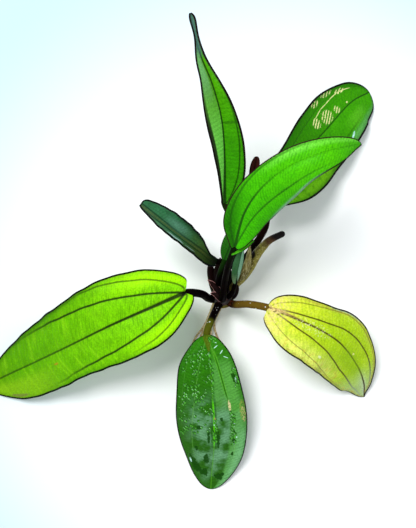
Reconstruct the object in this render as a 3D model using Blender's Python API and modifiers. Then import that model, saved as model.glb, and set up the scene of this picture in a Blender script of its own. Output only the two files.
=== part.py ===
"""Amazon sword plant, picked whole: ten leaves on one short crown, with a tuft of roots.

The plant lies on a flat surface with its upper side facing up (+Z). The tips of four
leaves and the roots touch the surface and carry it. Its leaves are built from a grid
bent along a midrib. Lengths below are in millimetres, measured from the middle of the
crown: x to the right, y away from the roots, and z as the height above the surface.
"""
import math

import bmesh
import bpy
from mathutils import Matrix, Vector
from mathutils.geometry import interpolate_bezier

MM = 0.001

CROWN_HEIGHT = 12.0          # middle of the crown above the surface
CROWN_RADII = (5.4, 5.2, 5.0)
CROWN_GAP = 0.3              # between the crown and each stalk or root seated on it

BLADE_THICKNESS = 0.6
KEEL_SHARE = 0.62            # share of the blade's length that the keel under it runs
KEEL_END_RADIUS = 0.35
CURL_REACH = 18.0            # distance from the midrib over which a blade's curl is given

ROOT_RADIUS = 0.65
STALK_STEPS = 2              # pieces of a stalk between two points of its route

LEAF_ROUGHNESS = 0.35
CROWN_ROUGHNESS = 0.6
ROOT_ROUGHNESS = 0.8

# Each leaf: rib is its midrib from base to tip. left and right are the half-widths of the
# blade, seen from above and looking to the tip, at nine places from base to tip that lie
# closer together towards both ends. fold is how far each half rises from flat at the
# midrib and curl how much further it turns upwards by CURL_REACH, both in degrees at the
# base, the middle and the tip. lobe is how far the base reaches back past the stalk. cells
# is the number of faces along and across. stalk is the route from the crown to the blade,
# and stalk_radii its radius at both ends.
LEAVES = {
    "leaf_left": dict(
        rib=[(-18.5, 2, 34), (-33.5, -4.5, 37), (-52.5, -13, 34), (-72.5, -23, 25),
             (-94, -33.5, 11.5), (-108.5, -40.4, 3.6), (-118.5, -45.5, 0.6)],
        left=(3.5, 9.1, 16.9, 18.6, 16.7, 17, 15, 8, 0.3),
        right=(5.5, 11.5, 18.5, 21.5, 19.5, 16, 11, 4.5, 0.3),
        fold=((8, 8, 4), (8, 8, 4)), curl=((-14, -14, -10), (-14, -14, -10)),
        lobe=4, cells=(16, 6),
        stalk=[(-1, -1, 12), (-5.8, -1.2, 14.6), (-10.5, 1.6, 25.5)],
        stalk_radii=(1.9, 1.9), colour=(0.27, 0.62, 0.01)),
    "leaf_upright": dict(
        rib=[(0.5, 43.5, 42), (0.5, 62, 52), (-1, 78, 62), (-5, 92, 67),
             (-10, 104.5, 67), (-14.5, 124, 62)],
        left=(1.5, 2, 4, 7.2, 10, 5.4, 1.2, 1.5, 0.4),
        right=(3, 5.8, 9.2, 9.3, 6.4, 2.8, 1.6, 1.9, 0.4),
        fold=((45, 45, 45), (20, 20, 30)), curl=((0, 0, 0), (-12, -12, -12)),
        lobe=0, cells=(16, 6),
        stalk=[(-0.5, -1, 11.5), (-2.6, 5.6, 12), (-1.2, 11, 15.5), (1.5, 19, 20.5),
               (4.5, 29, 29), (3.5, 37.5, 37)],
        stalk_radii=(1.6, 1.5), colour=(0.05, 0.36, 0.02)),
    "leaf_front": dict(
        rib=[(5, 23.5, 52), (9, 38, 62), (16, 48, 70), (27, 56, 78), (41, 61.5, 80),
             (57.5, 66, 72)],
        left=(1.5, 3.6, 7.8, 8.3, 7.5, 6.9, 5.3, 3.2, 0.3),
        right=(2.2, 5.4, 10.2, 13.2, 12.8, 9.1, 5.9, 1.8, 0.3),
        fold=((10, 5, 0), (5, 5, 0)), curl=((-30, -30, -25), (-50, -60, -40)),
        lobe=1, cells=(16, 6),
        stalk=[(0, -2, 13), (0.3, 0.9, 20.6), (1, 7.5, 28), (2.5, 15.5, 40)],
        stalk_radii=(1.7, 1.4), colour=(0.05, 0.48, 0.005)),
    "leaf_back": dict(
        rib=[(21.5, 44, 25), (28.5, 55.5, 23), (37.5, 67, 19), (50.5, 81, 13),
             (64.4, 96.3, 6), (74.6, 102.6, 0.6)],
        left=(2, 5.5, 9.5, 10.5, 14.2, 14.7, 10.6, 5.3, 0.3),
        right=(2, 7, 15.2, 18.7, 17.7, 16.2, 13.6, 9, 0.3),
        fold=((20, 20, 10), (5, 5, 5)), curl=((0, 0, 0), (-10, -20, -20)),
        lobe=0, cells=(16, 6),
        stalk=[(0.5, -1, 11), (2.9, 5.8, 9.4), (7.8, 13.7, 12), (13.5, 21.5, 17),
               (19.9, 31.9, 23.5), (21.1, 37.6, 25.5)],
        stalk_radii=(1.8, 1.6), colour=(0.02, 0.24, 0.004)),
    "leaf_small": dict(
        rib=[(-3, 16.8, 30.5), (-6.5, 18.8, 33.2), (-10.5, 22, 36), (-19.5, 28.5, 41),
             (-28.5, 35.5, 43), (-38, 43, 40)],
        left=(2, 3.4, 4.2, 4, 3.6, 3.4, 2.2, 1.6, 0.6),
        right=(1.4, 1.8, 2.4, 5.7, 7.4, 7.2, 5.6, 3.5, 0.8),
        fold=((25, 30, 20), (15, 15, 10)), curl=((10, 10, 0), (0, 0, 0)),
        lobe=0, cells=(12, 6),
        stalk=[(0, -1, 12), (1.4, 3, 16.2), (2.2, 7, 19.5), (2.9, 11.4, 21), (2.2, 15, 23),
               (0.2, 16.6, 25.8)],
        stalk_radii=(1.5, 1.4), colour=(0.01, 0.09, 0.03)),
    "leaf_low": dict(
        rib=[(-7.5, -18, 27), (-6, -30, 27), (-5, -44.5, 24), (-4, -59.5, 18.5),
             (-4, -75.5, 11), (-5, -88, 4.4), (-5.5, -98, 0.6)],
        left=(1.8, 6.2, 11.2, 14.4, 16.2, 15.4, 11.9, 5.9, 0.3),
        right=(1.8, 7.8, 14.6, 17, 18.4, 15.9, 10.9, 5.4, 0.3),
        fold=((8, 6, 5), (8, 6, 5)), curl=((-20, -15, -15), (-20, -15, -15)),
        lobe=0, cells=(16, 6),
        stalk=[(-0.5, -2, 12), (-3, -6.6, 16.6), (-6.3, -13.5, 24)],
        stalk_radii=(1.8, 1.7), colour=(0.03, 0.25, 0.025)),
    "leaf_yellow": dict(
        rib=[(22, -5, 31), (29, -7.5, 34), (36, -10.5, 35), (45.5, -15, 33),
             (56, -22, 26.5), (66.2, -34.2, 14.5), (70.8, -43.8, 6.4), (72, -51.4, 0.6)],
        left=(2, 6.8, 10.9, 12.4, 15.5, 13, 6.3, 1.2, 0.3),
        right=(5, 9.3, 14.9, 17.4, 18.1, 16.2, 13.3, 5.9, 0.3),
        fold=((5, -5, -5), (10, 8, 5)), curl=((-25, -25, -20), (-15, -15, -15)),
        lobe=1, cells=(16, 6),
        stalk=[(1, -2, 12), (5.6, -3.9, 14.2), (13, -3.5, 24)],
        stalk_radii=(1.8, 1.8), colour=(0.55, 0.72, 0.05)),
    "young_leaf_red": dict(
        rib=[(13.5, 52, 37), (14.3, 59, 39), (15.6, 65, 40)],
        left=(0.8, 1.2, 1.8, 2.2, 2.4, 2.3, 1.8, 1.1, 0.3),
        right=(0.8, 1.2, 1.8, 2.2, 2.4, 2.3, 1.8, 1.1, 0.3),
        fold=((30, 30, 20), (30, 30, 20)), curl=((0, 0, 0), (0, 0, 0)),
        lobe=0, cells=(8, 4),
        stalk=[(0.2, -1, 12), (0.7, 6, 14.4), (2.2, 11, 17.6), (5, 16.5, 21),
               (9.5, 27, 27), (12.5, 40, 33)],
        stalk_radii=(1.1, 0.9), colour=(0.04, 0.006, 0.003)),
    "young_leaf_pale": dict(
        rib=[(6, 6.2, 24), (7.2, 12.9, 30), (8.4, 19.4, 36), (9.2, 22.8, 39)],
        left=(1, 1.8, 2.6, 3.1, 3.3, 2.8, 1.8, 0.9, 0.3),
        right=(1, 1.4, 2, 2.4, 2.6, 2.3, 1.6, 0.9, 0.3),
        fold=((-25, -25, -25), (-45, -45, -45)), curl=((0, 0, 0), (0, 0, 0)),
        lobe=0, cells=(10, 4),
        stalk=[(1, -1.5, 13), (4.5, 1.2, 17.8), (5.4, 3.4, 21)],
        stalk_radii=(1.2, 1.1), colour=(0.12, 0.40, 0.20)),
    "young_leaf_green": dict(
        rib=[(0.8, 17.6, 33.8), (3, 23.5, 37), (6, 30, 39.8), (9, 35, 41.6)],
        left=(1, 2, 3.2, 4, 4.2, 3.6, 2.6, 1.3, 0.3),
        right=(1, 1.8, 2.6, 3.2, 3.4, 3, 2.2, 1.2, 0.3),
        fold=((-10, -10, -10), (-10, -10, -10)), curl=((-30, -30, -30), (-30, -30, -30)),
        lobe=0, cells=(10, 4),
        stalk=[(-0.5, -1, 12), (-2, 5.4, 17), (-1.8, 10, 25)],
        stalk_radii=(1.2, 1.1), colour=(0.015, 0.16, 0.01)),
}

# The stalk of an old leaf whose blade was trimmed away, with the papery sheath at its foot.
CUT_STALK = [(1, -1, 12), (5.4, 4.4, 13.6), (9.6, 9.4, 19), (12.7, 14.3, 23),
             (15.8, 19.9, 28), (18.9, 23.9, 31), (22, 26.9, 33), (27.7, 29.7, 32)]
CUT_STALK_RADII = (1.5, 1.8, 2.4, 2.7, 2.4, 2.0, 1.7, 1.5)
SHEATH = [(8.7, 9.2, 18.6), (10.9, 15, 25), (11.9, 19.9, 29), (12.4, 24.1, 31.5)]
SHEATH_RADII = (1.5, 2.0, 1.4, 0.2)
CUT_STALK_COLOUR = (0.20, 0.16, 0.03)

# Each root runs from the crown down to the surface and along it, under the lowest leaf.
ROOTS = {
    "root_1": [(0, -1, 9), (-2.8, -4.6, 8), (-5.4, -9, 6.8), (-8.6, -16, 4.4), (-13, -27, 1),
               (-19, -40, 0.7)],
    "root_2": [(-0.4, -1, 8), (-1.8, -4.6, 6), (-4.2, -9, 4.4), (-6.8, -16, 2.4), (-9, -27, 0.7),
               (-10, -42, 0.7), (-7, -55, 0.7)],
    "root_3": [(0, -1, 9), (-0.8, -5, 8), (-3.6, -9.4, 7), (-5.4, -16, 4.6), (-4.5, -28, 1),
               (-1, -41, 0.7)],
    "root_4": [(-2.4, -0.4, 8.4), (-3.8, -3.2, 5), (-5.8, -8.6, 3), (-8.6, -15, 1.2), (-13.5, -22, 0.7),
               (-17, -31, 0.7)],
    "root_5": [(1, -1, 8), (0.8, -3.9, 4.2), (-1.6, -8.6, 1.8), (-3.8, -15, 0.7), (-1, -24, 0.7),
               (4, -33, 0.7)],
}
ROOT_COLOUR = (0.42, 0.33, 0.20)
CROWN_COLOUR = (0.03, 0.012, 0.008)


def fresh_scene():
    """Empty the scene and return the collections for the parts and for the cutters."""
    for thing in list(bpy.data.objects):
        bpy.data.objects.remove(thing, do_unlink=True)
    collections = []
    for name in ("amazon_sword_plant", "cutters"):
        collection = bpy.data.collections.new(name)
        bpy.context.scene.collection.children.link(collection)
        collections.append(collection)
    return collections


def finish_material(name, colour, roughness):
    """A plain finish in the part's own colour."""
    material = bpy.data.materials.new(name)
    material.use_nodes = True
    shader = material.node_tree.nodes["Principled BSDF"]
    shader.inputs["Base Color"].default_value = (*colour, 1)
    shader.inputs["Roughness"].default_value = roughness
    shader.inputs["Metallic"].default_value = 0.0
    return material


def place(thing, name, collection, parent):
    """Name an object, put it in its collection and hang it from its parent."""
    thing.name = name
    thing.data.name = name
    for other in list(thing.users_collection):
        other.objects.unlink(thing)
    collection.objects.link(thing)
    thing.parent = parent


def hide_cutter(thing):
    """Show a cutter as wires only and keep it out of the build."""
    thing.hide_render = True
    thing.display_type = 'WIRE'


def from_crown(point):
    """A point of the plant as a vector in metres from the middle of the crown."""
    x, y, z = point
    return Vector((x, y, z - CROWN_HEIGHT)) * MM


def smooth_route(points, steps=16):
    """Points along a smooth curve through the given ones."""
    ends = [2 * points[0] - points[1], *points, 2 * points[-1] - points[-2]]
    route = []
    for before, start, end, after in zip(ends, ends[1:], ends[2:], ends[3:]):
        reach = (end - start).length / 3
        leave = start + (end - before).normalized() * reach
        arrive = end - (after - start).normalized() * reach
        route += interpolate_bezier(start, leave, arrive, end, steps + 1)[:-1]
    return route + [points[-1].copy()]


def smooth_value(values, share):
    """The value at a share from 0 to 1 of a row of evenly spaced values, on a smooth curve."""
    spot = min(max(share, 0.0), 1.0) * (len(values) - 1)
    first = min(int(spot), len(values) - 2)
    padded = (values[0], *values, values[-1])
    before, start, end, after = padded[first:first + 4]
    part = spot - first
    slope_in, slope_out = (end - before) / 2, (after - start) / 2
    rise = end - start
    return (start + slope_in * part + (3 * rise - 2 * slope_in - slope_out) * part ** 2
            + (slope_in + slope_out - 2 * rise) * part ** 3)


class Midrib:
    """A leaf's midrib, with the directions along, across and out of its blade."""

    def __init__(self, leaf):
        self.leaf = leaf
        self.route = smooth_route([from_crown(point) for point in leaf["rib"]])
        self.lengths = [0.0]
        for start, end in zip(self.route, self.route[1:]):
            self.lengths.append(self.lengths[-1] + (end - start).length)
        self.length = self.lengths[-1]

    def point(self, distance):
        """The midrib's point at a distance from its base, and past its ends in line with them."""
        piece = 1
        while piece < len(self.lengths) - 1 and self.lengths[piece] < distance:
            piece += 1
        start, end = self.route[piece - 1], self.route[piece]
        span = self.lengths[piece] - self.lengths[piece - 1]
        return start.lerp(end, (distance - self.lengths[piece - 1]) / span)

    def frame(self, distance):
        """The point at a distance, and the unit vectors to the left of it and out of the blade."""
        step = 0.01 * self.length
        forward = (self.point(distance + step) - self.point(distance - step)).normalized()
        outward = (Vector((0, 0, 1)) - forward * forward.z).normalized()
        return self.point(distance), outward.cross(forward), outward

    def blade_point(self, share, across):
        """A point of the blade's upper face: share runs base to tip, across right to left."""
        leaf = self.leaf
        side = 0 if across > 0 else 1
        station = math.acos(1 - 2 * share) / math.pi
        width = smooth_value(leaf["left" if across > 0 else "right"], station) * abs(across)
        sweep = leaf["lobe"] * MM * (1 - share) ** 4 * math.sin(math.pi / 2 * abs(across))
        middle, left, outward = self.frame(share * self.length - sweep)
        fold = math.radians(smooth_value(leaf["fold"][side], share))
        bend = math.radians(smooth_value(leaf["curl"][side], share)) / CURL_REACH
        if abs(bend) < 1e-6:
            out, rise = width * math.cos(fold), width * math.sin(fold)
        else:
            out = (math.sin(fold + bend * width) - math.sin(fold)) / bend
            rise = (math.cos(fold) - math.cos(fold + bend * width)) / bend
        return middle + (left * math.copysign(out, across) + outward * rise) * MM


def tube(points, radii, name, collection, parent):
    """A closed round stalk along the points, with its radius at each, as a mesh object."""
    curve = bpy.data.curves.new(name, 'CURVE')
    curve.dimensions = '3D'
    curve.bevel_depth = MM
    curve.bevel_resolution = 2
    curve.use_fill_caps = True
    spline = curve.splines.new('POLY')
    spline.points.add(len(points) - 1)
    for knot, point, radius in zip(spline.points, points, radii):
        knot.co = (*point, 1)
        knot.radius = radius
    guide = bpy.data.objects.new(name, curve)
    collection.objects.link(guide)
    evaluated = guide.evaluated_get(bpy.context.evaluated_depsgraph_get())
    mesh = bpy.data.meshes.new_from_object(evaluated)
    weld(mesh)
    mesh.shade_smooth()
    stalk = bpy.data.objects.new(name, mesh)
    stalk.matrix_world = guide.matrix_world
    bpy.data.objects.remove(guide, do_unlink=True)
    place(stalk, name, collection, parent)
    return stalk


def weld(mesh):
    """Join the loose caps of a curve's mesh to its wall."""
    shell = bmesh.new()
    shell.from_mesh(mesh)
    bmesh.ops.remove_doubles(shell, verts=shell.verts, dist=1e-6)
    shell.to_mesh(mesh)
    shell.free()


def ellipsoid(name, radii, collection, parent, finish=None):
    """A round body with its middle at the crown's middle."""
    bpy.ops.mesh.primitive_uv_sphere_add(segments=16, ring_count=10, radius=MM)
    body = bpy.context.object
    body.data.transform(Matrix.Diagonal((*radii, 1)))
    place(body, name, collection, parent)
    if finish:
        body.data.materials.append(finish)
    body.data.shade_smooth()
    return body


def cut_by(thing, cutter, operation):
    """Join or cut a part with a closed cutter."""
    boolean = thing.modifiers.new(cutter.name, 'BOOLEAN')
    boolean.operation = operation
    boolean.solver = 'EXACT'
    boolean.object = cutter


def keel_radius(stalk_radius, share):
    """The keel's radius under the blade, wide at the stalk and thin where the keel ends."""
    left_over = 1 - share / KEEL_SHARE
    return KEEL_END_RADIUS + (stalk_radius - KEEL_END_RADIUS) * left_over ** 2.5


def stalk_and_keel(leaf, midrib, shares):
    """The points and radii of a leaf's stalk and of the keel that it becomes under the blade."""
    first, last = leaf["stalk_radii"]
    sunk = BLADE_THICKNESS / 2 * MM
    outward = midrib.frame(0)[2]
    drop = outward * (sunk + last / 2 * MM)
    base, beyond = (from_crown(point) - drop for point in leaf["rib"][:2])
    route = smooth_route([*(from_crown(point) for point in leaf["stalk"]), base, beyond], STALK_STEPS)
    points = route[:-STALK_STEPS]
    radii = [first + (last - first) * step / (len(points) - 1) for step in range(len(points))]
    for share in shares:
        radius = keel_radius(last, share)
        middle, _, outward = midrib.frame(share * midrib.length)
        points.append(middle - outward * (sunk + radius / 2 * MM))
        radii.append(radius)
    return points, radii


def leaf_part(name, leaf, parts, cutters, plant, crown_seat):
    """One leaf: a bent blade with its stalk and keel, seated on the crown."""
    midrib = Midrib(leaf)
    rows, columns = leaf["cells"]
    bpy.ops.mesh.primitive_grid_add(x_subdivisions=rows, y_subdivisions=columns, size=2)
    blade = bpy.context.object
    shares = [(1 - math.cos(math.pi * row / rows)) / 2 for row in range(rows + 1)]
    for vertex in blade.data.vertices:
        row = round((vertex.co.x + 1) / 2 * rows)
        vertex.co = midrib.blade_point(shares[row], vertex.co.y)
    place(blade, name, parts, plant)
    blade.data.shade_smooth()
    blade.data.materials.append(finish_material(name, leaf["colour"], LEAF_ROUGHNESS))
    skin = blade.modifiers.new("thickness", 'SOLIDIFY')
    skin.thickness = BLADE_THICKNESS * MM
    skin.offset = -1
    keel_shares = [share for share in shares[1:] if share < KEEL_SHARE]
    points, radii = stalk_and_keel(leaf, midrib, keel_shares)
    stalk = tube(points, radii, name + "_stalk", cutters, plant)
    hide_cutter(stalk)
    cut_by(blade, stalk, 'UNION')
    cut_by(blade, crown_seat, 'DIFFERENCE')


def smooth_tube(name, points, radii, collection, plant):
    """A tube along a smooth route through the points, with its radius changing smoothly."""
    route = smooth_route([from_crown(point) for point in points], STALK_STEPS)
    widths = [smooth_value(radii, step / (len(route) - 1)) for step in range(len(route))]
    return tube(route, widths, name, collection, plant)


def bare_stalk(parts, cutters, plant, crown_seat):
    """The trimmed leaf's stalk, grown together with the papery sheath at its foot."""
    stalk = smooth_tube("cut_stalk", CUT_STALK, CUT_STALK_RADII, parts, plant)
    stalk.data.materials.append(finish_material("cut_stalk", CUT_STALK_COLOUR, LEAF_ROUGHNESS))
    sheath = smooth_tube("cut_stalk_sheath", SHEATH, SHEATH_RADII, cutters, plant)
    hide_cutter(sheath)
    cut_by(stalk, sheath, 'UNION')
    cut_by(stalk, crown_seat, 'DIFFERENCE')


def root_part(name, points, finish, parts, plant, crown_seat):
    """One root, seated on the crown."""
    root = smooth_tube(name, points, (ROOT_RADIUS, ROOT_RADIUS), parts, plant)
    root.data.materials.append(finish)
    cut_by(root, crown_seat, 'DIFFERENCE')


def centre_over_origin(solids, plant):
    """Stand the plant on z = 0 with the middle of its box over the origin."""
    bpy.context.view_layer.update()
    depsgraph = bpy.context.evaluated_depsgraph_get()
    corners = []
    for solid in solids:
        seen = solid.evaluated_get(depsgraph)
        corners += [seen.matrix_world @ vertex.co for vertex in seen.data.vertices]
    low = Vector(min(corner[axis] for corner in corners) for axis in range(3))
    high = Vector(max(corner[axis] for corner in corners) for axis in range(3))
    plant.location = (-(low.x + high.x) / 2, -(low.y + high.y) / 2, -low.z)


def build():
    parts, cutters = fresh_scene()
    plant = bpy.data.objects.new("plant", None)
    parts.objects.link(plant)

    crown_finish = finish_material("crown", CROWN_COLOUR, CROWN_ROUGHNESS)
    ellipsoid("crown", CROWN_RADII, parts, plant, crown_finish)
    seat_radii = [radius + CROWN_GAP for radius in CROWN_RADII]
    crown_seat = ellipsoid("crown_seat", seat_radii, cutters, plant)
    hide_cutter(crown_seat)

    for name, leaf in LEAVES.items():
        leaf_part(name, leaf, parts, cutters, plant, crown_seat)

    bare_stalk(parts, cutters, plant, crown_seat)

    root_finish = finish_material("root", ROOT_COLOUR, ROOT_ROUGHNESS)
    for name, points in ROOTS.items():
        root_part(name, points, root_finish, parts, plant, crown_seat)

    centre_over_origin([thing for thing in parts.objects if thing.type == 'MESH'], plant)


build()
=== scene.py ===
import math
import random

import bpy
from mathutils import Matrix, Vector
from mathutils.geometry import interpolate_bezier


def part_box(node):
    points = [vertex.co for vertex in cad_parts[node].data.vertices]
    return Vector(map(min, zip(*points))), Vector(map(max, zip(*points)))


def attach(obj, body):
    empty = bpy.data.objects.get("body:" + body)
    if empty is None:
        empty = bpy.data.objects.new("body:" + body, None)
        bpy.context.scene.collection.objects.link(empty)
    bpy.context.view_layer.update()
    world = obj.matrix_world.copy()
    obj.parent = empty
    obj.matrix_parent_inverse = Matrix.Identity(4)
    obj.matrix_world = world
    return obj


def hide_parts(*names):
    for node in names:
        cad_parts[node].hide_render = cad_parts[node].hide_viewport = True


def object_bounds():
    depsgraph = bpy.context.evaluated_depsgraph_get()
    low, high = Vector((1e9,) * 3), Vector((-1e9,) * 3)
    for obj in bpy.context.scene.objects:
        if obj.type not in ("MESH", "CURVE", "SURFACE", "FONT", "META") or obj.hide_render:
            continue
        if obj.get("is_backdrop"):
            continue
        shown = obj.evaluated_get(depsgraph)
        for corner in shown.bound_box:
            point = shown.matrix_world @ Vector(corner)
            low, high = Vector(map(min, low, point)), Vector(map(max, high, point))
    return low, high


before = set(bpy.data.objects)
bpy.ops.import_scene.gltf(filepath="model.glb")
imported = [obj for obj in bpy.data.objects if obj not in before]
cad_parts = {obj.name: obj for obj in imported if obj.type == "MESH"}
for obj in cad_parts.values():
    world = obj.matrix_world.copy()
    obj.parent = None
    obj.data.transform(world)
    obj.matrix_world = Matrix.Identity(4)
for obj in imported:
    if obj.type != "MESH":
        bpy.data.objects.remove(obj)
cad_box = [list(corner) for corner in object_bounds()]
bpy.ops.object.select_all(action='DESELECT')

# The crown is the short, hard stem that every stalk and root grows from. It is a dark
# knob ringed with the scars of leaves that have dropped off, and it is mostly hidden
# among the feet of the stalks.
MM = 0.001
CROWN_LOW, CROWN_HIGH = (Vector(corner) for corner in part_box("crown"))
CROWN = (CROWN_LOW + CROWN_HIGH) / 2
CROWN_RADII = (CROWN_HIGH - CROWN_LOW) / 2
SCAR_RINGS = 5
SCAR_DEPTH = 0.25 * MM
BARK_DARK, BARK_RED = "0B0303", "3A1210"
BARK_GRAIN = 900.0


def paint(code, alpha=1.0):
    """A colour from its six-figure code, as the shader wants it."""
    parts = [int(code[place:place + 2], 16) / 255 for place in (0, 2, 4)]
    return (*(part / 12.92 if part < 0.04045 else ((part + 0.055) / 1.055) ** 2.4
              for part in parts), alpha)


def sum_node(operation, turned=False):
    """A sum on two numbers, either of which may change over a surface."""
    def work(self, other):
        first, second = (other, self) if turned else (self, other)
        return self.finish.node("Math", {"operation": operation}, {0: first, 1: second})
    return work


class Tone:
    """A number that changes over a surface; arithmetic on it adds Math nodes."""

    def __init__(self, finish, socket):
        self.finish = finish
        self.socket = socket

    __add__ = __radd__ = sum_node('ADD')
    __mul__ = __rmul__ = sum_node('MULTIPLY')
    __sub__, __rsub__ = sum_node('SUBTRACT'), sum_node('SUBTRACT', turned=True)
    __truediv__, __pow__ = sum_node('DIVIDE'), sum_node('POWER')
    least, most = sum_node('MINIMUM'), sum_node('MAXIMUM')

    def __abs__(self):
        return self.finish.node("Math", {"operation": 'ABSOLUTE'}, {0: self})

    def fraction(self):
        return self.finish.node("Math", {"operation": 'FRACT'}, {0: self})

    def rise(self, low, high):
        """A smooth step from 0 where the value is low to 1 where it is high."""
        return self.finish.node("MapRange", {"interpolation_type": 'SMOOTHSTEP'},
                                {"Value": self, "From Min": low, "From Max": high})

    def fall(self, low, high):
        """A smooth step from 1 where the value is low to 0 where it is high."""
        return 1 - self.rise(low, high)

    def line(self, half_width):
        """1 where the value is near zero, fading out at a half-width."""
        return abs(self).fall(half_width * 0.45, half_width * 1.35)


class Finish:
    """A material while it is being made up."""

    def __init__(self, name):
        self.material = bpy.data.materials.new(name)
        self.material.use_nodes = True
        self.tree = self.material.node_tree
        self.shader = self.tree.nodes["Principled BSDF"]

    def feed(self, socket, value):
        if isinstance(value, Tone):
            self.tree.links.new(value.socket, socket)
        else:
            socket.default_value = value

    def node(self, kind, settings, sockets, output=0):
        """Add a node, set it up, feed its sockets and give one of its outputs."""
        node = self.tree.nodes.new("ShaderNode" + kind)
        for setting, value in settings.items():
            setattr(node, setting, value)
        for socket, value in sockets.items():
            self.feed(node.inputs[socket], value)
        return Tone(self, node.outputs[output])

    def blend(self, mask, under, over, way='MIX'):
        """One colour over another where the mask is 1."""
        settings = {"data_type": 'RGBA', "blend_type": way}
        return self.node("Mix", settings, {0: mask, 6: under, 7: over}, output=2)

    def uv(self, layer):
        """The two numbers of one of the piece's own layers of coordinates."""
        place = self.node("UVMap", {"uv_map": layer}, {})
        return [self.node("SeparateXYZ", {}, {0: place}, output) for output in (0, 1)]

    def spot(self):
        """The place on the piece itself, in metres."""
        return self.node("TexCoord", {}, {}, output=3)

    def vector(self, x, y, z=0.0):
        return self.node("CombineXYZ", {}, {0: x, 1: y, 2: z})

    def distance(self, place):
        """How far the surface is from a fixed place, in millimetres."""
        sockets = {0: self.spot(), 1: place}
        return self.node("VectorMath", {"operation": 'DISTANCE'}, sockets, output=1) / MM

    def noise(self, where, scale, detail=3.0):
        return self.node("TexNoise", {}, {"Vector": where, "Scale": scale, "Detail": detail})

    def close(self, colour, roughness, height=None, depth=1 * MM, gloss=0.5):
        """Feed the shader and give the finished material."""
        self.feed(self.shader.inputs["Base Color"], colour)
        self.feed(self.shader.inputs["Roughness"], roughness)
        self.feed(self.shader.inputs["Specular IOR Level"], gloss)
        if height:
            bump = self.node("Bump", {}, {"Height": height, "Distance": depth})
            self.feed(self.shader.inputs["Normal"], bump)
        return self.material


def dress(piece, name, material):
    """Name a piece and its mesh, and give it its finish."""
    piece.name = piece.data.name = name
    piece.data.materials.append(material)
    return piece


def add_piece(piece, slot, *nodes):
    """Let a finished piece ride with the plant, and stand for its CAD nodes."""
    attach(piece, "root")
    if nodes:
        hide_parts(*nodes)
    bpy.ops.object.select_all(action='DESELECT')


bpy.ops.mesh.primitive_uv_sphere_add(segments=48, ring_count=24, radius=1, location=(0, 0, 0))
crown = bpy.context.object
bpy.ops.object.mode_set(mode='EDIT')
bpy.ops.transform.resize(value=CROWN_RADII)
bpy.ops.transform.translate(value=CROWN)
bpy.ops.mesh.select_mode(type='FACE')
for ring in range(SCAR_RINGS):
    bpy.ops.mesh.select_all(action='DESELECT')
    bpy.ops.object.mode_set(mode='OBJECT')
    level = CROWN_LOW.z + (CROWN_HIGH.z - CROWN_LOW.z) * (ring + 1) / (SCAR_RINGS + 1)
    for face in crown.data.polygons:
        face.select = abs(face.center.z - level) < CROWN_RADII.z / 22
    bpy.ops.object.mode_set(mode='EDIT')
    bpy.ops.mesh.inset(thickness=SCAR_DEPTH / 2, depth=-SCAR_DEPTH)
bpy.ops.object.mode_set(mode='OBJECT')
bpy.ops.object.shade_smooth()

bark = Finish("crown_bark")
grain = bark.noise(bark.spot(), BARK_GRAIN)
bark_colour = bark.blend(grain.rise(0.45, 0.7), paint(BARK_DARK), paint(BARK_RED))
dress(crown, "scarred_crown", bark.close(bark_colour, 0.35 + grain * 0.3, grain, 0.4 * MM))
add_piece(crown, "crown", "crown")

# The left leaf is the largest: a thin green blade, clear enough for the light to show
# through it, on a short black-red stalk. The stalk runs on under the blade as its midrib,
# and the arching veins start where it joins.
BLADE_THICKNESS = 0.5 * MM
BLADE_ROWS, BLADE_COLUMNS = 180, 52
MARGIN_THINNESS = 0.5           # thickness at the margin, as a share of that at the midrib
CURL_REACH = 18.0
KEEL_SHARE = 0.62
KEEL_END_RADIUS = 0.3
PANEL_SWELL = 0.035             # how far the blade swells between two veins, per millimetre
CROSS_SPACING = 2.1
FOOT_SPREAD = 0.5               # how much wider a stalk is where it sheathes the crown
STALK_GLOSS = 0.01


def smooth_route(points, steps=16):
    """Points along a smooth curve through the given ones."""
    ends = [2 * points[0] - points[1], *points, 2 * points[-1] - points[-2]]
    route = []
    for before, start, end, after in zip(ends, ends[1:], ends[2:], ends[3:]):
        reach = (end - start).length / 3
        leave = start + (end - before).normalized() * reach
        arrive = end - (after - start).normalized() * reach
        route += interpolate_bezier(start, leave, arrive, end, steps + 1)[:-1]
    return route + [points[-1].copy()]


def smooth_value(values, share):
    """The value at a share from 0 to 1 of a row of evenly spaced values."""
    spot = min(max(share, 0.0), 1.0) * (len(values) - 1)
    first = min(int(spot), len(values) - 2)
    padded = (values[0], *values, values[-1])
    before, start, end, after = padded[first:first + 4]
    part = spot - first
    slope_in, slope_out = (end - before) / 2, (after - start) / 2
    rise = end - start
    return (start + slope_in * part + (3 * rise - 2 * slope_in - slope_out) * part ** 2
            + (slope_in + slope_out - 2 * rise) * part ** 3)


def from_crown(point):
    """A point given in millimetres from the crown's middle, z above the floor."""
    x, y, z = point
    return Vector((CROWN.x + x * MM, CROWN.y + y * MM, z * MM))


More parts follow.
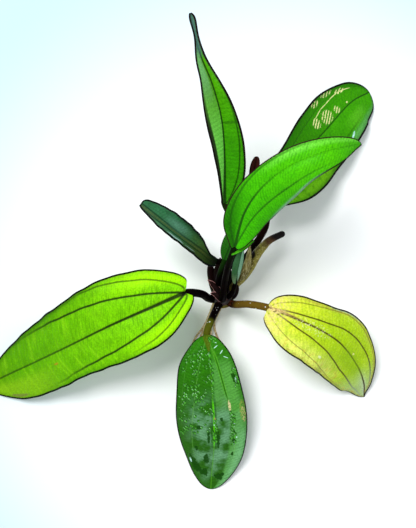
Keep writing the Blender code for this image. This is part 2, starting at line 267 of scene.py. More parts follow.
class Leaf:
    """The form of one leaf: its midrib, half-widths, fold, curl and arching veins."""

    def __init__(self, name, rib, left, right=None, fold=((0, 0),) * 2, curl=((0, 0),) * 2,
                 veins=((), ()), lobe=0.0, ripple=(0.0, 20.0), wobble=(0.0, 9.0)):
        self.name = name
        self.widths = (left, right or left)
        self.fold, self.curl, self.veins = fold, curl, veins
        self.lobe, self.ripple, self.wobble = lobe, ripple, wobble
        self.route = smooth_route([from_crown(point) for point in rib])
        self.lengths = [0.0]
        for start, end in zip(self.route, self.route[1:]):
            self.lengths.append(self.lengths[-1] + (end - start).length)
        self.length = self.lengths[-1]

    def rib_point(self, distance):
        """The midrib's point at a distance from its base."""
        piece = 1
        while piece < len(self.lengths) - 1 and self.lengths[piece] < distance:
            piece += 1
        start, end = self.route[piece - 1], self.route[piece]
        span = self.lengths[piece] - self.lengths[piece - 1]
        return start.lerp(end, (distance - self.lengths[piece - 1]) / span)

    def directions(self, distance):
        """The midrib's point, and the directions to its left and out of the blade."""
        step = 0.01 * self.length
        forward = (self.rib_point(distance + step) - self.rib_point(distance - step)).normalized()
        outward = (Vector((0, 0, 1)) - forward * forward.z).normalized()
        return self.rib_point(distance), outward.cross(forward), outward

    def half_width(self, share, side):
        """The half-width in millimetres at a share of the length."""
        width = smooth_value(self.widths[side], math.acos(1 - 2 * share) / math.pi)
        depth, wave = self.wobble
        phase = 2 * math.pi * share * self.length / MM / wave + 2.2 * side
        return width + depth * math.sin(math.pi * share) * (math.sin(phase) + math.sin(1.7 * phase))

    def swell(self, share, across, width):
        """How far the blade swells between its veins, in millimetres."""
        side = 0 if across > 0 else 1
        edges = [0.0]
        for spread, power, reach, _ in self.veins[side]:
            edges.append(min(spread * share ** power, reach))
        edges.append(1.0)
        for low, high in zip(edges, edges[1:]):
            if low <= abs(across) <= high and high > low:
                part = (abs(across) - low) / (high - low)
                return PANEL_SWELL * (high - low) * width * math.sin(math.pi * part)
        return 0.0

    def point(self, share, across):
        """A point of the blade's upper face."""
        side = 0 if across > 0 else 1
        full = self.half_width(share, side)
        width = full * abs(across)
        sweep = self.lobe * MM * (1 - share) ** 4 * math.sin(math.pi / 2 * abs(across))
        middle, left, outward = self.directions(share * self.length - sweep)
        fold = math.radians(smooth_value(self.fold[side], share))
        bend = math.radians(smooth_value(self.curl[side], share)) / CURL_REACH or 1e-6
        out = (math.sin(fold + bend * width) - math.sin(fold)) / bend
        rise = (math.cos(fold) - math.cos(fold + bend * width)) / bend
        height, wave = self.ripple
        phase = share * self.length / MM / wave + 0.5 * side
        rise += self.swell(share, across, full)
        wave = math.sin(2 * math.pi * phase) * math.sin(math.pi * share)
        rise += height * abs(across) ** 3 * wave
        return middle + (left * math.copysign(out, across) + outward * rise) * MM


def blade(leaf, rows=BLADE_ROWS, columns=BLADE_COLUMNS):
    """A flat grid laid along the leaf's midrib, as a thin closed skin."""
    bpy.ops.mesh.primitive_grid_add(x_subdivisions=rows, y_subdivisions=columns, size=2)
    skin = bpy.context.object
    place = skin.data.uv_layers.new(name="place")
    size = skin.data.uv_layers.new(name="size")
    thick = skin.vertex_groups.new(name="thick")
    spots = []
    for vertex in skin.data.vertices:
        row = round((vertex.co.x + 1) / 2 * rows)
        share = (1 - math.cos(math.pi * row / rows)) / 2
        across = vertex.co.y
        width = leaf.half_width(share, 0 if across > 0 else 1)
        spots.append((share, across, share * leaf.length / MM, width))
        vertex.co = leaf.point(share, across)
        thick.add([vertex.index], 1 - (1 - MARGIN_THINNESS) * across ** 2, 'REPLACE')
    for corner in skin.data.loops:
        share, across, along, width = spots[corner.vertex_index]
        place.data[corner.index].uv = (share, across)
        size.data[corner.index].uv = (along, width)
    skin.data.uv_layers.remove(skin.data.uv_layers["UVMap"])
    wall = skin.modifiers.new("thickness", 'SOLIDIFY')
    wall.thickness = BLADE_THICKNESS
    wall.offset = -1
    wall.vertex_group = "thick"
    bpy.ops.object.modifier_apply(modifier=wall.name)
    bpy.ops.object.shade_smooth()
    return skin


def round_tube(points, radii, sides=6):
    """A closed round stalk along the points, with its radius in millimetres at each."""
    bpy.ops.curve.primitive_nurbs_path_add(location=(0, 0, 0))
    tube = bpy.context.object
    tube.data.splines.clear()
    tube.data.bevel_depth = MM
    tube.data.bevel_resolution = sides
    tube.data.use_fill_caps = True
    line = tube.data.splines.new('POLY')
    line.points.add(len(points) - 1)
    for knot, point, radius in zip(line.points, points, radii):
        knot.co = (*point, 1)
        knot.radius = radius
    bpy.ops.object.convert(target='MESH')
    tube = bpy.context.object
    bpy.ops.object.mode_set(mode='EDIT')
    bpy.ops.mesh.select_all(action='SELECT')
    bpy.ops.mesh.remove_doubles(threshold=1e-6)
    bpy.ops.mesh.normals_make_consistent(inside=False)
    bpy.ops.object.mode_set(mode='OBJECT')
    bpy.ops.object.shade_smooth()
    return tube


def stalk_and_keel(leaf, stalk, radii):
    """A leaf's stalk from the crown to its blade, running on as the keel under it."""
    first, last = radii
    sunk = BLADE_THICKNESS / 2
    outward = leaf.directions(0)[2]
    drop = outward * (sunk / 2 + last * MM)
    knots = [from_crown(point) for point in stalk]
    knots += [leaf.rib_point(0) - drop, leaf.rib_point(leaf.length / 6) - drop]
    steps = 8
    points = smooth_route(knots, steps)[:-steps]
    widths = []
    for step in range(len(points)):
        part = step / (len(points) - 1)
        widths.append(first + (last - first) * part + FOOT_SPREAD * (1 - part) ** 4)
    rows = 24
    for row in range(1, rows):
        share = KEEL_SHARE * row / rows
        radius = KEEL_END_RADIUS + (last - KEEL_END_RADIUS) * (1 - share / KEEL_SHARE) ** 2.5
        middle, _, outward = leaf.directions(share * leaf.length)
        points.append(middle - outward * (sunk / 2 + radius * MM))
        widths.append(radius)
    return round_tube(points, widths)


class LeafSkin(Finish):
    """The finish of a blade, painted in the blade's own directions."""

    def __init__(self, leaf, base, tip, turn=(0.1, 0.9)):
        super().__init__(leaf.name + "_blade")
        self.leaf = leaf
        self.share, self.across = self.uv("place")
        self.along, self.width = self.uv("size")
        self.side = abs(self.across)
        self.flat = self.vector(self.along, self.across * self.width)
        self.mottle = self.noise(self.flat, 0.22)
        self.clouds = self.mottle.rise(0.42, 0.72)
        self.ragged = self.noise(self.flat, 1.3)
        self.wetness = 0.0
        self.clear = 1.0
        self.colour = self.blend(self.share.rise(*turn), paint(base), paint(tip))
        self.height = self.mottle * 0.3
        self.roughness = 0.36 + self.mottle * 0.1

    def cover(self, mask, code):
        """Paint a colour over the blade where the mask is 1."""
        self.colour = self.blend(mask, self.colour, paint(code))

    def washes(self, *rows):
        """Paint soft washes, one to a row: its colour, its mask or strength, and its limits
        along and across the blade. Two limits say where the wash is nothing and where it
        is full, and two more where it is still full and where it is gone again."""
        for code, mask, *limits in rows:
            for value, edges in zip((self.share, self.across), limits):
                for nothing, full in filter(None, (edges[:2], edges[:1:-1])):
                    mask = mask * (value.rise(nothing, full) if nothing < full
                                   else value.fall(full, nothing))
            self.cover(mask, code)

    def flecks(self, scale, low, high):
        """Irregular flecks all over the blade."""
        return self.noise(self.flat, scale).rise(low, high)

    def streaks(self, stretch, scale):
        """A noise drawn out along the blade."""
        return self.noise(self.vector(self.along * stretch, self.across * self.width), scale)

    def rungs(self, slant, lean, spacing):
        """The count of cross veins passed on the way to the tip, aslant and leaning back."""
        beside = self.across * slant + self.side * lean
        return (self.along - beside * self.width) / spacing

    def cross_veins(self, code, strength, slant=0.0, lean=0.0, spacing=CROSS_SPACING):
        """The fine ladder of veins between the long ones, and the net between its rungs."""
        phase = self.rungs(slant, lean, spacing) + self.noise(self.flat, 0.12) * 1.6
        line = (abs(phase.fraction() - 0.5) * 2).rise(0.15, 1.0)
        broken = self.noise(self.vector(self.along, self.across * self.width * 0.25), 0.7)
        strength = self.share.rise(0.0, 0.12) * strength
        self.cover(line * broken.rise(0.35, 0.65) * strength, code)
        net = self.node("TexVoronoi", {"feature": 'DISTANCE_TO_EDGE'},
                        {"Vector": self.flat, "Scale": 1.1})
        self.cover(net.fall(0.0, 0.12) * strength * 0.35, code)
        self.height = self.height - line * 0.35 + net.rise(0.0, 0.3) * 0.12

    def draw(self, line, code, strength):
        """Paint a line that stops the light and stands a little sunk in the blade."""
        self.cover(line * strength, code)
        self.clear = self.clear * (1 - line * strength * 0.85)
        self.height = self.height - line * 0.6

    def midrib(self, code, base_mm, tip_mm, strength=1.0, taper=6):
        """The midrib, wide where the stalk joins and thin at the tip."""
        half = (1 - self.share) ** taper * (base_mm - tip_mm) + tip_mm
        self.draw(1 - (self.side * self.width / half).rise(0.5, 1.35), code, strength)

    def long_veins(self, code, half_mm, strength=1.0, thinning=0.7):
        """The veins that leave the stalk's end, arch along the blade and fade out."""
        for direction, veins in zip((1, -1), self.leaf.veins):
            for order, (spread, power, reach, end) in enumerate(veins):
                where = (self.share ** power * spread).least(reach)
                gap = (self.across * direction - where) * self.width + (self.ragged - 0.5) * 0.25
                line = gap.line(half_mm * thinning ** order)
                self.draw(line * self.share.fall(end * 0.5, end), code,
                          strength * thinning ** order)

    def rim(self, code, width_mm=0.5, shade=None, shade_mm=3.5, shade_strength=0.5):
        """The dark line round the margin, and a band of painted shade inside it."""
        gap = (1 - self.side) * self.width
        if shade:
            self.cover(gap.fall(0.0, shade_mm) * shade_strength, shade)
        edge = gap + self.ragged * 0.35 - 0.17
        self.draw(1 - edge.rise(width_mm * 0.7, width_mm * 1.1), code, 1.0)

    def oval(self, share, across, length_mm, width_mm, turn=0.0):
        """A ragged oval on the blade: 1 inside and 0 outside."""
        along = (self.share - share) * (self.leaf.length / MM)
        beside = (self.across - across) * self.width
        first = (along * math.cos(turn) + beside * math.sin(turn)) / length_mm
        second = (beside * math.cos(turn) - along * math.sin(turn)) / width_mm
        return 1 - (first * first + second * second + self.ragged * 1.4 - 0.7).rise(0.62, 0.98)

    def patch(self, code, share, across, length_mm, width_mm, strength=1.0, turn=0.0):
        """An oval mark on the blade."""
        mask = self.oval(share, across, length_mm, width_mm, turn)
        self.cover(mask * strength, code)
        return mask

    def graze(self, code, share, across, length_mm, width_mm, slant=1.73, spacing=2.9):
        """A patch of dry scratches, side by side."""
        phase = self.rungs(slant, 0.0, spacing) + self.ragged * 0.6
        line = (abs(phase.fraction() - 0.5) * 2).rise(0.42, 0.66)
        broken = self.flecks(0.9, 0.33, 0.42)
        self.cover(line * broken * self.oval(share, across, length_mm, width_mm), code)

    def finish_blade(self, through, through_code, gloss=0.06, depth=0.2 * MM):
        """Close the material, with light passing through the blade."""
        grain = self.noise(self.flat, 1.3, 4.0) * 1.1 + 0.45
        colour = self.blend(1.0, self.colour, grain, 'MULTIPLY')
        self.feed(self.shader.inputs["Coat Weight"], self.wetness)
        self.feed(self.shader.inputs["Coat Roughness"], 0.06)
        self.close(colour, self.roughness, self.height, depth, gloss)
        surface = Tone(self, self.shader.outputs[0])
        glow = self.node("BsdfTranslucent", {}, {"Color": paint(through_code)})
        lit = self.node("MixShader", {}, {0: self.clear * through, 1: surface, 2: glow})
        self.feed(self.tree.nodes["Material Output"].inputs["Surface"], lit)
        return self.material


def stalk_finish(name, near, far, change=(20.0, 26.0), glints=0.0, streaks=0.02):
    """A smooth wet stalk, one colour at the crown and another at its blade, with painted glints if
    asked.
    """
    finish = Finish(name)
    where = finish.spot()
    away = finish.distance(CROWN)
    streak = finish.noise(where, 700.0, 2.0)
    colour = finish.blend(away.rise(*change), paint(near), paint(far))
    colour = finish.blend(streak.rise(0.5, 0.7) * streaks, colour, paint("5A2A1C"))
    # Painted glints: pale specks where light catches the wet stalk.
    if glints:
        sparkle = finish.noise(where, 620.0, 2.0).rise(0.66, 0.7) * glints
        colour = finish.blend(sparkle, colour, paint("E4ECEC"))
    return finish.close(colour, 0.25 + streak * 0.2, streak, 0.15 * MM, STALK_GLOSS)


def join(whole, *parts):
    """Make one piece of several that have grown together."""
    for part in (whole, *parts):
        part.select_set(True)
    bpy.context.view_layer.objects.active = whole
    bpy.ops.object.join()
    bpy.ops.object.select_all(action='DESELECT')
    return whole


def grow_leaf(leaf, node, skin, stalk, radii, look, rows=BLADE_ROWS, columns=BLADE_COLUMNS):
    """Put a blade and its stalk together as one piece that stands for the CAD leaf. The
    stalk's look is what its finish takes after its name."""
    whole = dress(blade(leaf, rows, columns), leaf.name, skin)
    foot = stalk_and_keel(leaf, stalk, radii)
    foot.data.materials.append(stalk_finish(leaf.name + "_stalk", *look))
    add_piece(join(whole, foot), node, node)
    return whole


left_leaf = Leaf(
    "left_leaf",
    rib=[(-18.5, 2, 34), (-33.5, -4.5, 37), (-52.5, -13, 34), (-72.5, -23, 25),
         (-94, -33.5, 11.5), (-108.5, -40.4, 3.6), (-118.5, -45.5, 0.6)],
    left=(3.5, 9.1, 16.9, 18.6, 16.7, 17, 15, 8, 0.3),
    right=(5.5, 11.5, 18.5, 21.5, 19.5, 16, 11, 4.5, 0.3),
    fold=((8, 8, 4),) * 2, curl=((-14, -14, -10),) * 2,
    veins=(((1.0, 0.42, 0.97, 0.8), (1.2, 0.25, 0.93, 0.32)),
           ((1.03, 0.54, 0.97, 0.95), (1.19, 0.25, 0.93, 0.62))),
    lobe=4.0, ripple=(0.45, 23.0), wobble=(0.12, 17.0))
lime = LeafSkin(left_leaf, "92EA03", "62AC01", (0.0, 0.8))
lime.washes(
    ("5FA400", lime.clouds * 0.45),
    ("A8EE10", lime.flecks(0.5, 0.5, 0.75) * 0.25))
lime.cross_veins("4C8E00", 0.36, 0.45)
lime.cross_veins("529600", 0.6, 0.45, spacing=1.1)
# Painted light and shade along creases: a lighter band and a darker band side by side.
crease_light_and_shade = lime.noise(lime.vector(lime.along + lime.side * lime.width * 0.3, lime.across * 2), 0.5)
lime.washes(
    ("A4E61C", crease_light_and_shade.rise(0.48, 0.72) * 0.32, (0.25, 0.45)),
    ("4E8A00", crease_light_and_shade.fall(0.3, 0.48) * 0.3, (0.25, 0.45)),
    # Painted shade along the upper margin towards the tip.
    ("3F7A00", 0.45, (0.2, 0.5), (-0.55, -0.95)),
    ("5A8206", 0.4, (0.8, 1.0)),
    # Painted light on the margins near the base.
    ("B4FF04", lime.side.rise(0.4, 0.7) * 0.85, (0.35, 0.1)),
    ("9CCC1C", 0.5, (0.55, 0.8), (0.1, 0.5)),
    # A darker band of painted shade at the upper margin's edge.
    ("1E4200", 0.7, (0.3, 0.6), (-0.84, -1.0)))
lime.long_veins("142A00", 0.54, 0.95, 0.8)
lime.midrib("060A00", 1.15, 0.48, 0.95 - lime.share.rise(0.25, 0.75) * 0.25, 4)
lime.rim("060201", 1.0, "3A7400", 3.5, 0.45)
lime.patch("B8621A", 0.62, 0.30, 1.6, 0.5, 0.75)
lime.patch("7C7A3C", 0.87, 0.84, 6.0, 1.0, 0.75)
grow_leaf(left_leaf, "leaf_left", lime.finish_blade(0.3, "8FE000"),
          [(-1, -1, 12), (-5.8, -1.2, 14.6), (-10.5, 1.6, 25.5)], (1.9, 1.9), ("040102", "070203"))

# The upright leaf stands almost on edge, so it is seen folded along its midrib. Its left
# half faces the sky and is painted pale, a painted sheen; its right half is deep green,
# and its tip narrows, turns over and ends in a little rounded paddle.
upright_leaf = Leaf(
    "upright_leaf",
    rib=[(0.5, 43.5, 42), (0.5, 62, 52), (-1, 78, 62), (-5, 92, 67), (-10, 104.5, 67),
         (-14.5, 124, 62)],
    left=(1.5, 2, 4, 7.2, 10, 5.4, 1.2, 1.5, 0.4),
    right=(3, 5.8, 9.2, 9.3, 6.4, 2.8, 1.6, 1.9, 0.4),
    fold=((45, 45, 45), (20, 20, 30)), curl=((0, 0, 0), (-12, -12, -12)),
    veins=((), ((0.95, 0.2, 0.84, 0.75),)), ripple=(0.2, 18.0))
fresh = LeafSkin(upright_leaf, "3A9E02", "4CA002", (0.2, 0.7))
fresh.cover(fresh.clouds * 0.4, "2C7A02")
fresh.cross_veins("267006", 0.24)
fresh.washes(
    # Painted sheen on the left half: paler all along, brightest low down, grey-green near the tip.
    ("569C1C", 0.85, (), (0.0, 0.04)),
    ("8AF060", 0.9, (0.65, 0.3), (0.0, 0.04)),
    ("80C080", 0.6, (0.5, 0.68), (0.05, 0.3)))
fresh.long_veins("0E2E02", 0.36, 0.8)
fresh.midrib("0A1A06", 1.2, 0.36, 0.9)
fresh.washes(("4C6E6C", 0.85, (0.74, 0.82)))
fresh.patch("255C04", 0.43, -0.45, 0.7, 3.4, 0.6)
fresh.rim("120507", 1.05, "246A04", 2.0, 0.4)
turned_edge = (fresh.across - fresh.share * 0.6).rise(0.42, 0.52)
fresh.draw(turned_edge * fresh.share.fall(0.4, 0.8), "14060A", 0.95)
grow_leaf(upright_leaf, "leaf_upright", fresh.finish_blade(0.22, "4FB010"),
          [(-0.5, -1, 11.5), (-2.6, 5.6, 12), (-1.2, 11, 15.5), (1.5, 19, 20.5),
           (4.5, 29, 29), (3.5, 37.5, 37)], (1.6, 1.5), ("050202", "162208", (34.0, 46.0)))

# The front leaf is the one nearest the eye. It is bright green and arches over, so both
# margins curl away, with a painted soft shine along the upper one and a painted pale
# highlight along the lower one; the left of its base is darkened with painted shade.
front_leaf = Leaf(
    "front_leaf",
    rib=[(5, 23.5, 52), (9, 38, 62), (16, 48, 70), (27, 56, 78), (41, 61.5, 80),
         (57.5, 66, 72)],
    left=(1.5, 3.6, 7.8, 8.3, 7.5, 6.9, 5.3, 3.2, 0.3),
    right=(2.2, 5.4, 10.2, 13.2, 12.8, 9.1, 5.9, 1.8, 0.3),
    fold=((10, 5, 0), (5, 5, 0)), curl=((-30, -30, -25), (-50, -60, -40)),
    veins=(((1.1, 0.33, 0.85, 0.9),), ((0.8, 0.5, 0.9, 0.95),)), lobe=1.0, ripple=(0.2, 18.0))
bright = LeafSkin(front_leaf, "43BE02", "52C204", (0.1, 0.8))
bright.washes(
    ("35A802", bright.clouds * 0.4),
    # Painted shade on the left of the base.
    ("124402", 0.95, (0.45, 0.1), (0.15, 0.8)),
    ("1A6402", 0.85, (0.36, 0.08), (-0.1, 0.4)),
    ("3C8A1C", 0.55, (0.8, 1.0)),
    # Painted soft shine along the upper margin.
    ("84EA4C", 0.6, (0.4, 0.6), (0.35, 0.7)))
bright.cross_veins("2C8C04", 0.62, 0.8, spacing=1.55)
bright.long_veins("184E06", 0.42, 0.72)
bright.midrib("123E06", 0.8, 0.34, 0.9 - bright.share.rise(0.25, 0.6) * 0.75, 4)
bright.rim("22100C", 0.6, "2C8A06", 2.5, 0.35)
# Painted pale highlight along the lower margin.
bright.washes(("A8D4B4", 0.55, (0.2, 0.35, 0.55, 0.8), (-0.86, -0.98)))
front_whole = grow_leaf(
    front_leaf, "leaf_front", bright.finish_blade(0.2, "55D010"),
    [(0, -2, 13), (0.3, 0.9, 20.6), (1, 7.5, 28), (2.5, 15.5, 40)], (1.7, 1.4),
    ("050202", "0C1606", (30.0, 44.0)))

# The lower margin of the front leaf is folded under at its base. The narrow bright strip
# that shows there is part of the same blade, so it is joined to the front leaf.
front_fold = Leaf(
    "front_leaf_fold",
    rib=[(3.6, 19.8, 48.6), (7, 21.4, 49.4), (10.2, 23.2, 50.2), (13.8, 26.4, 51.6)],
    left=(0.3, 0.6, 0.8, 0.9, 0.9, 0.8, 0.7, 0.4, 0.2),
    right=(0.3, 0.5, 0.7, 0.8, 0.7, 0.6, 0.5, 0.3, 0.1),
    fold=((15, 15, 15),) * 2)
strip = LeafSkin(front_fold, "3F9C0A", "56C01A")
strip.rim("123806", 0.25)
folded = dress(blade(front_fold, 40, 8), front_fold.name, strip.finish_blade(0.2, "55D010"))
join(front_whole, folded)

# The back leaf lies behind it, darker and with a broad rounded tip. Something has grazed
# its left half and left pale dry scratches, and its right margin turns up, with painted
# sheen and a painted glint on it and painted shade along its fold.
back_leaf = Leaf(
    "back_leaf",
    rib=[(21.5, 44, 25), (28.5, 55.5, 23), (37.5, 67, 19), (50.5, 81, 13), (64.4, 96.3, 6),
         (74.6, 102.6, 0.6)],
    left=(2, 5.5, 9.5, 10.5, 14.2, 14.7, 10.6, 5.3, 0.3),
    right=(2, 7, 15.2, 18.7, 17.7, 16.2, 13.6, 9, 0.3),
    fold=((20, 20, 10), (5, 5, 5)), curl=((0, 0, 0), (-10, -20, -20)),
    veins=(((0.8, 0.3, 0.7, 1.1),), ((0.85, 0.35, 0.75, 1.1),)), ripple=(0.4, 17.0))
deep = LeafSkin(back_leaf, "2C7202", "3E9E02", (0.25, 0.75))
deep.washes(
    ("2A8202", deep.clouds * 0.45),
    ("246C04", 0.45, (), (0.3, 0.9)))
deep.cross_veins("1F6A04", 0.3, 0.53)
deep.long_veins("1C5204", 0.35, 0.45)
deep.midrib("143A08", 0.8, 0.36, 0.85)
deep.washes(
    # Painted sheen on the turned-up right margin.
    ("7CC07A", 0.55, (0.62, 0.72), (-0.62, -0.95)),
    ("68B010", 0.75, (0.55, 0.4), (-0.45, -0.8)))
GRAZED = "E4E59A"
SCRATCH = [(0.88, 0.67), (0.81, 0.70), (0.74, 0.63), (0.70, 0.60), (0.65, 0.60), (0.58, 0.53)]
for (share, across), (next_share, next_across) in zip(SCRATCH, SCRATCH[1:]):
    middle = (share + next_share) / 2
    run = (share - next_share) * back_leaf.length / MM
    drift = (across - next_across) * back_leaf.half_width(middle, 0)
    deep.patch(GRAZED, middle, (across + next_across) / 2, math.hypot(run, drift) * 0.6, 0.27,
               0.9, math.atan2(drift, run))
for place in ((0.64, 0.88, 3.0, 2.0), (0.745, 0.88, 3.6, 1.5), (0.65, 0.26, 4.0, 3.8),
              (0.565, 0.38, 2.6, 3.0), (0.735, 0.18, 2.0, 2.2), (0.82, 0.72, 3.0, 1.4)):
    deep.graze(GRAZED, *place)
deep.patch(GRAZED, 0.82, 0.13, 0.6, 0.5)
# Painted shade along the fold where the right margin turns up.
curl_shade_line = ((deep.across + 0.62) * deep.width).line(0.6)
deep.washes(("1E5A04", curl_shade_line * 0.6, (0.6, 0.66, 0.78, 0.9)))
# A painted glint on the turned-up margin.
deep.patch("C0F4EC", 0.69, -0.74, 2.2, 0.6, 0.8, 0.3)
deep.washes(
    ("2E6404", deep.flecks(0.35, 0.48, 0.7) * 0.6, (0.6, 0.45), (-0.35, -0.7)),
    ("68C428", 0.4, (0.66, 0.8, 0.84, 0.95), (-0.8, -0.58, -0.42, -0.2)))
deep.rim("0A0504", 1.15, "1A5804", 4.0, 0.55)
grow_leaf(back_leaf, "leaf_back", deep.finish_blade(0.2, "3FA810"),
          [(0.5, -1, 11), (2.9, 5.8, 9.4), (7.8, 13.7, 12), (13.5, 21.5, 17),
           (19.9, 31.9, 23.5), (21.1, 37.6, 25.5)], (1.8, 1.6), ("070303", "160806", (26.0, 38.0)))

# The small leaf is young, narrow and blue-green. It has a brown midrib with a dark line on
# both sides and thick, nearly black margins.
small_leaf = Leaf(
    "small_leaf",
    rib=[(-3, 16.8, 30.5), (-6.5, 18.8, 33.2), (-10.5, 22, 36), (-19.5, 28.5, 41),
         (-28.5, 35.5, 43), (-38, 43, 40)],
    left=(2, 3.4, 4.2, 4, 3.6, 3.4, 2.2, 1.4, 0.5),
    right=(1.4, 1.8, 2.4, 5.7, 7.4, 7.2, 5.7, 4.1, 1.9),
    fold=((25, 30, 20), (15, 15, 10)), curl=((10, 10, 0), (0, 0, 0)),
    veins=(((0.6, 0.3, 0.55, 1.0),),) * 2, ripple=(0.15, 12.0), wobble=(0.1, 8.0))
blue = LeafSkin(small_leaf, "36521A", "28603A", (0.2, 0.6))
blue.washes(
    ("357450", blue.clouds * 0.4, (0.2, 0.5)),
    ("4A7450", 0.6, (0.35, 0.5), (0.1, 0.6)),
    ("363E18", 0.6, (0.55, 0.3), (0.1, 0.6)))
blue.cross_veins("1C4A2C", 0.24, 0.3, spacing=1.3)
blue.cover((blue.side * blue.width - 0.95).line(0.35) * 0.75, "0C1C0C")
blue.midrib("4A5228", 0.8, 0.42, 0.65)
blue.washes(
    ("1C3E26", blue.streaks(0.15, 1.5).rise(0.5, 0.68) * 0.45),
    ("16341A", 0.85, (0.2, 0.35, 0.52, 0.66), (-0.5, -0.95)),
    ("588470", 0.5, (0.36, 0.54, 0.58, 0.76), (-0.82, -0.45, -0.35, 0.02)),
    ("4E4A34", blue.flecks(2.2, 0.5, 0.62) * 0.6, (0.72, 0.84), (-0.3, 0.2)))
# Painted glints: pale blue-white streaks near the lower margin.
blue.patch("B4D2D8", 0.52, 0.62, 5.0, 0.3, 0.5)
blue.patch("A8C8CC", 0.34, 0.6, 3.4, 0.25, 0.3)
blue.washes(
    ("162806", 0.9, (0.34, 0.0)),
    ("060A03", 0.95, (0.17, 0.0)))
blue.clear = blue.share.rise(0.05, 0.4)
blue.rim("040506", 1.0, "0F3A18", 1.8, 0.5)
blue.draw(blue.share.rise(0.975, 0.992), "040506", 0.9)
grow_leaf(small_leaf, "leaf_small", blue.finish_blade(0.12, "2F7A3A"),
          [(0, -1, 12), (1.4, 3, 16.2), (2.2, 7, 19.5), (2.9, 11.4, 21), (2.2, 15, 23),
           (0.2, 16.6, 25.8)], (1.5, 1.4), ("050202", "070B04", (22.0, 32.0)),
          rows=110, columns=36)

# The low leaf hangs below the crown and is wet: a film of water lies on it, its grey sheen
# painted, drops stand between its veins, and where the film has broken the leaf shows darker.
low_leaf = Leaf(
    "low_leaf",
    rib=[(-7.5, -18, 27), (-6, -30, 27), (-5, -44.5, 24), (-4, -59.5, 18.5), (-4, -75.5, 11),
         (-5, -88, 4.4), (-5.5, -98, 0.6)],
    left=(1.8, 6.2, 11.2, 14.4, 16.2, 15.4, 11.9, 5.9, 0.3),
    right=(1.8, 7.8, 14.6, 17, 18.4, 15.9, 10.9, 5.4, 0.3),
    fold=((8, 6, 5),) * 2, curl=((-20, -15, -15),) * 2,
    veins=(((0.8, 0.55, 0.7, 1.0),), ((0.78, 0.45, 0.67, 1.0), (1.0, 0.16, 0.86, 0.7))),
    ripple=(0.3, 19.0))
wet = LeafSkin(low_leaf, "2C7A06", "2A6410", (0.0, 0.6))
film_and_painted_sheen = wet.flecks(0.13, 0.38, 0.62) * wet.share.rise(0.28, 0.5)
film_and_painted_sheen = film_and_painted_sheen * wet.share.fall(0.85, 1.0)
wet.washes(
    ("1E5806", wet.clouds * 0.4),
    # Painted sheen of the wet film: grey-green over the middle and right of the blade.
    ("70AA7C", film_and_painted_sheen * 0.75, (), (-0.9, -0.4)),
    ("66B052", 0.5, (0.1, 0.2, 0.35, 0.5), (0.02, 0.12)),
    ("58A440", 0.7, (0.12, 0.22), (0.42, 0.56)),
    # Paler painted sheen on the right side.
    ("80C486", 0.55, (0.5, 0.62), (0.4, 0.9)),
    ("2E7A0C", 0.6, (0.6, 0.45), (0.75, 0.9)),
    ("2A6C14", 0.35, (), (-0.7, -1.0)))
wet.cross_veins("1A4C06", 0.34, lean=-0.5, spacing=1.7)
wet.long_veins("6CB04A", 0.32, 0.3, 0.6)
beside = (wet.across - (wet.share ** 0.55 * 0.8).least(0.7)) * wet.width
wet.washes(
    ("5CB024", beside.line(0.75) * 0.7, (0.06, 0.12, 0.3, 0.42)),
    ("1A5C06", beside.line(0.4) * 0.85, (0.08, 0.14, 0.34, 0.42)))
wet.midrib("4C9C1E", 0.7, 0.36, 0.5)
from_rib = wet.side * wet.width
wet.washes(
    ("4B640A", (from_rib / ((0.11 - wet.share).most(0.001) * 24)).fall(0.6, 1.1)),
    # Painted shade: dark lines either side of the water run on the midrib.
    ("164A06", (from_rib - 0.9).line(0.5) * wet.ragged.rise(0.35, 0.55) * 0.7,
     (0.34, 0.42, 0.66, 0.72)),
    ("4FC00A", from_rib.line(0.5), (0.36, 0.42, 0.66, 0.7)))
DRY_GAPS = ((0.83, -0.72, 7.0, 2.2, 0.25), (0.78, -0.24, 3.6, 1.5), (0.62, -0.16, 4.0, 0.8),
            (0.64, 0.13, 4.6, 1.0), (0.90, 0.40, 2.4, 2.6), (0.55, -0.42, 1.4, 1.6),
            (0.62, 0.60, 4.6, 1.0), (0.25, 0.84, 3.6, 1.3, 0.2), (0.73, 0.62, 1.2, 0.7),
            (0.88, -0.35, 2.6, 1.4), (0.70, -0.55, 1.6, 0.8), (0.5, 0.22, 1.2, 0.9))
fine_edge = wet.ragged
wet.ragged = (wet.noise(wet.flat, 0.55) - 0.5) * 2.4 + 0.5
for share, across, length_mm, width_mm, *turn in DRY_GAPS:
    film_and_painted_sheen = film_and_painted_sheen * (1 - wet.patch("124603", share, across, length_mm, width_mm, 0.95, *turn))
wet.ragged = fine_edge
wet.wetness = film_and_painted_sheen * 0.4
